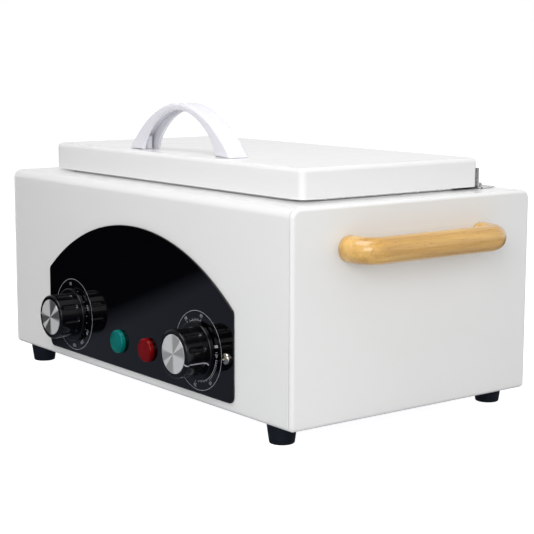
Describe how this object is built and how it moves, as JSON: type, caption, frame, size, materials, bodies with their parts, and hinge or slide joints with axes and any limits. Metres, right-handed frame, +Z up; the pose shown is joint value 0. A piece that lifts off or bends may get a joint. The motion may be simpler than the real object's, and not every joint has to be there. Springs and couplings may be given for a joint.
{
  "type": "dry heat sterilizer",
  "caption": "Bench-top dry heat sterilizer: enamelled box with a rear-hinged lid, arched lid handle, wooden carrying handles, arched black fascia with temperature and timer knobs.",
  "frame": {"origin": "centre of the overall footprint, on the surface that the feet stand on", "axes": "+X to the right along the front, +Y from the front to the rear, +Z up"},
  "size_m": [0.375, 0.2128, 0.1895],
  "materials": {
    "enamel": "white baked enamel, semi-gloss",
    "zinc": "zinc-plated, satin",
    "foot_rubber": "moulded, satin",
    "fascia_black": "high gloss",
    "nickel": "nickel-plated",
    "green_lens": "translucent, gloss",
    "red_lens": "translucent, gloss",
    "black_plastic": "moulded, satin",
    "knob_black": "moulded, gloss",
    "spun_aluminium": "spun",
    "shaft_brass": "machined",
    "ivory_plastic": "moulded",
    "bulb_copper": "drawn",
    "stainless": "brushed",
    "heater_mica": "pressed mica",
    "wool": "mineral wool",
    "handle_white": "moulded, semi-gloss",
    "beech": "clear varnish",
    "brown_wire": "satin",
    "blue_wire": "satin",
    "green_wire": "satin",
    "white_wire": "glass-sleeved, matt"
  },
  "bodies": {
    "case": {"case_wrap": "enamel", "left_end_panel": "enamel", "right_end_panel": "enamel", "bottom_plate": "zinc", "front_left_foot": "foot_rubber", "front_right_foot": "foot_rubber", "rear_left_foot": "foot_rubber", "rear_right_foot": "foot_rubber", "front_left_foot_screw": "zinc", "front_right_foot_screw": "zinc", "rear_left_foot_screw": "zinc", "rear_right_foot_screw": "zinc", "fascia_plate": "fascia_black", "left_fascia_screw": "nickel", "right_fascia_screw": "nickel", "green_lamp_lens": "green_lens", "red_lamp_lens": "red_lens", "green_lamp_body": "black_plastic", "red_lamp_body": "black_plastic", "thermostat_body": "ivory_plastic", "thermostat_bulb": "bulb_copper", "timer_body": "zinc", "tank": "stainless", "heating_plate": "heater_mica", "heater_clamp_plate": "zinc", "tank_insulation": "wool", "heat_shield": "zinc", "hinge_case_leaf": "stainless", "hinge_pin": "stainless", "left_side_handle": "beech", "right_side_handle": "beech", "left_side_handle_front_screw": "zinc", "left_side_handle_rear_screw": "zinc", "right_side_handle_front_screw": "zinc", "right_side_handle_rear_screw": "zinc", "power_inlet": "black_plastic", "left_inlet_screw": "zinc", "right_inlet_screw": "zinc", "live_wire": "brown_wire", "neutral_wire": "blue_wire", "earth_wire": "green_wire", "timer_wire": "white_wire", "heater_wire": "white_wire"},
    "lid": {"lid_shell": "enamel", "lid_inner_pan": "stainless", "lid_insulation": "wool", "lid_handle": "handle_white", "left_lid_handle_screw": "zinc", "right_lid_handle_screw": "zinc", "hinge_lid_leaf": "stainless"},
    "temperature_dial": {"temperature_knob": "knob_black", "temperature_knob_cap": "spun_aluminium", "thermostat_shaft": "shaft_brass"},
    "timer_dial": {"timer_knob": "knob_black", "timer_knob_cap": "spun_aluminium", "timer_shaft": "shaft_brass"},
    "tray": {"instrument_tray": "stainless"}
  },
  "joints": [
    {"name": "lid_hinge", "type": "hinge", "parent": "case", "child": "lid", "pos_m": [0, 0.0803, 0.1396], "axis": [-1, 0, 0], "range_deg": [0, 100]},
    {"name": "temperature_turn", "type": "hinge", "parent": "case", "child": "temperature_dial", "pos_m": [-0.0759, -0.0888, 0.044], "axis": [0, 1, 0], "range_deg": [0, 270]},
    {"name": "timer_turn", "type": "hinge", "parent": "case", "child": "timer_dial", "pos_m": [0.0731, -0.0888, 0.044], "axis": [0, 1, 0], "range_deg": [-37, 262]},
    {"name": "tray_lift", "type": "slide", "parent": "case", "child": "tray", "axis": [0, 0, 1], "range_m": [0, 0.033]}
  ]
}
